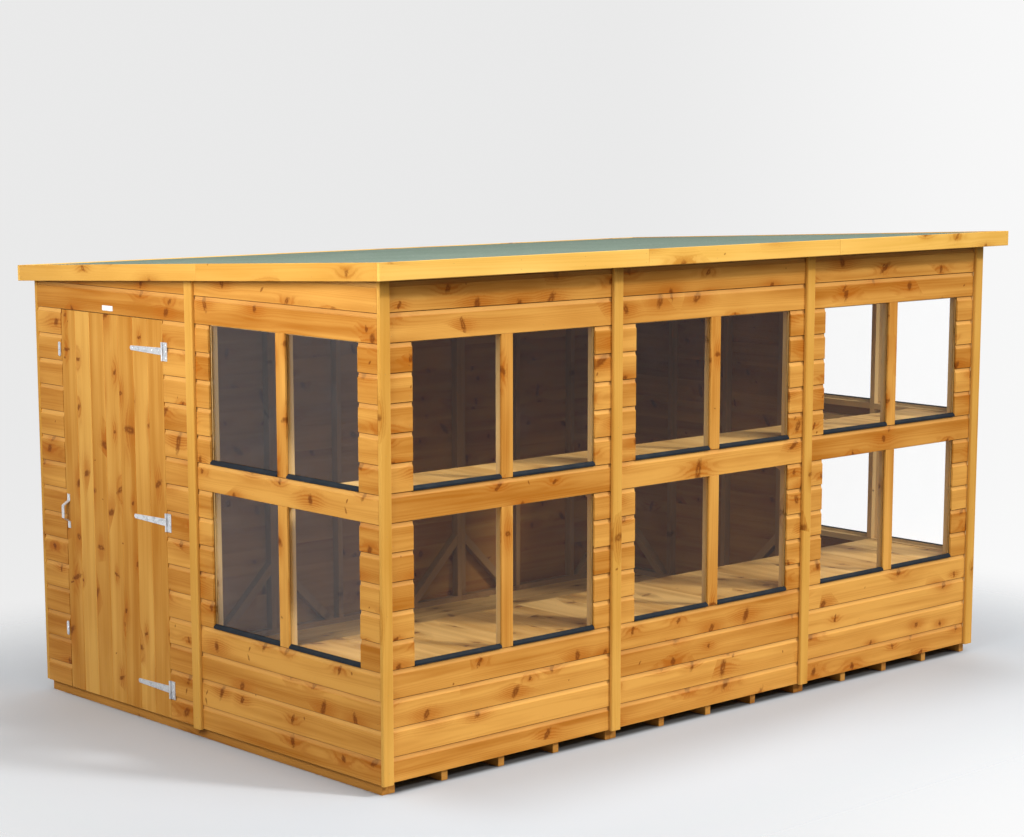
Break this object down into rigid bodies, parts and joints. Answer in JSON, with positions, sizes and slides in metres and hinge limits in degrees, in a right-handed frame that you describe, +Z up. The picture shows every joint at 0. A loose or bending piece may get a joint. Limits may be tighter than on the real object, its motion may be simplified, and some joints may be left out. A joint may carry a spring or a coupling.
{
  "type": "potting shed",
  "caption": "Pent-roofed timber potting shed clad in shiplap boards, with large windows along the front and one end, a boarded door on strap hinges, and a bench and a shelf inside.",
  "frame": {"origin": "on the ground under the middle of the roof's outline", "axes": "+X along the glazed front towards the plain end, +Y from the front to the back, +Z up"},
  "size_m": [3.848, 2.525, 2.0543],
  "materials": {
    "cladding_wood": "honey stained, satin",
    "trim_wood": "honey stained, satin",
    "door_wood": "honey stained, satin",
    "frame_timber": "sawn",
    "floor_wood": "planed",
    "joist_timber": "sawn, treated",
    "roof_board": "sheet",
    "roof_felt": "mineral felt, matt",
    "window_glass": "clear",
    "sill_plastic": "dark slate, satin",
    "ironwork": "bright zinc"
  },
  "bodies": {
    "shed": {"back_left_cladding": "cladding_wood", "back_left_frame": "frame_timber", "back_middle_cladding": "cladding_wood", "back_middle_frame": "frame_timber", "back_right_cladding": "cladding_wood", "back_right_frame": "frame_timber", "bench_bearers": "floor_wood", "bench_boards": "floor_wood", "corner_strips": "trim_wood", "door_panel_cladding": "cladding_wood", "door_panel_frame": "frame_timber", "fascia_back": "trim_wood", "fascia_front": "trim_wood", "fascia_left": "trim_wood", "fascia_right": "trim_wood", "floor_boards": "floor_wood", "floor_joists": "joist_timber", "front_left_cladding": "cladding_wood", "front_left_frame": "frame_timber", "front_left_mullions": "cladding_wood", "front_left_panes": "window_glass", "front_left_sills": "sill_plastic", "front_middle_cladding": "cladding_wood", "front_middle_frame": "frame_timber", "front_middle_mullions": "cladding_wood", "front_middle_panes": "window_glass", "front_middle_sills": "sill_plastic", "front_right_cladding": "cladding_wood", "front_right_frame": "frame_timber", "front_right_mullions": "cladding_wood", "front_right_panes": "window_glass", "front_right_sills": "sill_plastic", "glazing_beads": "frame_timber", "hinge_pins": "ironwork", "hinge_plates": "ironwork", "joint_strips": "trim_wood", "left_end_window_cladding": "cladding_wood", "left_end_window_frame": "frame_timber", "left_end_window_mullions": "cladding_wood", "left_end_window_panes": "window_glass", "left_end_window_sills": "sill_plastic", "right_end_plain_cladding": "cladding_wood", "right_end_plain_frame": "frame_timber", "right_end_window_cladding": "cladding_wood", "right_end_window_frame": "frame_timber", "right_end_window_mullions": "cladding_wood", "right_end_window_panes": "window_glass", "right_end_window_sills": "sill_plastic", "roof_battens": "frame_timber", "roof_beams": "frame_timber", "roof_felt": "roof_felt", "roof_purlins": "frame_timber", "roof_sheets": "roof_board", "turn_button_screws": "ironwork"},
    "door": {"door_boards": "door_wood", "door_ledges": "door_wood", "door_handle": "ironwork", "hinge_straps": "ironwork"},
    "turn_button_lower": {"turn_button_lower": "ironwork"},
    "turn_button_upper": {"turn_button_upper": "ironwork"}
  },
  "joints": [
    {"name": "door_hinge", "type": "hinge", "parent": "shed", "child": "door", "pos_m": [-1.859, 0.25, 0.893], "axis": [0, 0, 1], "range_deg": [0, 170]},
    {"name": "turn_button_lower_pivot", "type": "hinge", "parent": "shed", "child": "turn_button_lower", "pos_m": [-1.855, 1.0465, 0.315], "axis": [1, 0, 0], "range_deg": [-90, 90]},
    {"name": "turn_button_upper_pivot", "type": "hinge", "parent": "shed", "child": "turn_button_upper", "pos_m": [-1.855, 1.0465, 1.567], "axis": [1, 0, 0], "range_deg": [-90, 90]}
  ]
}
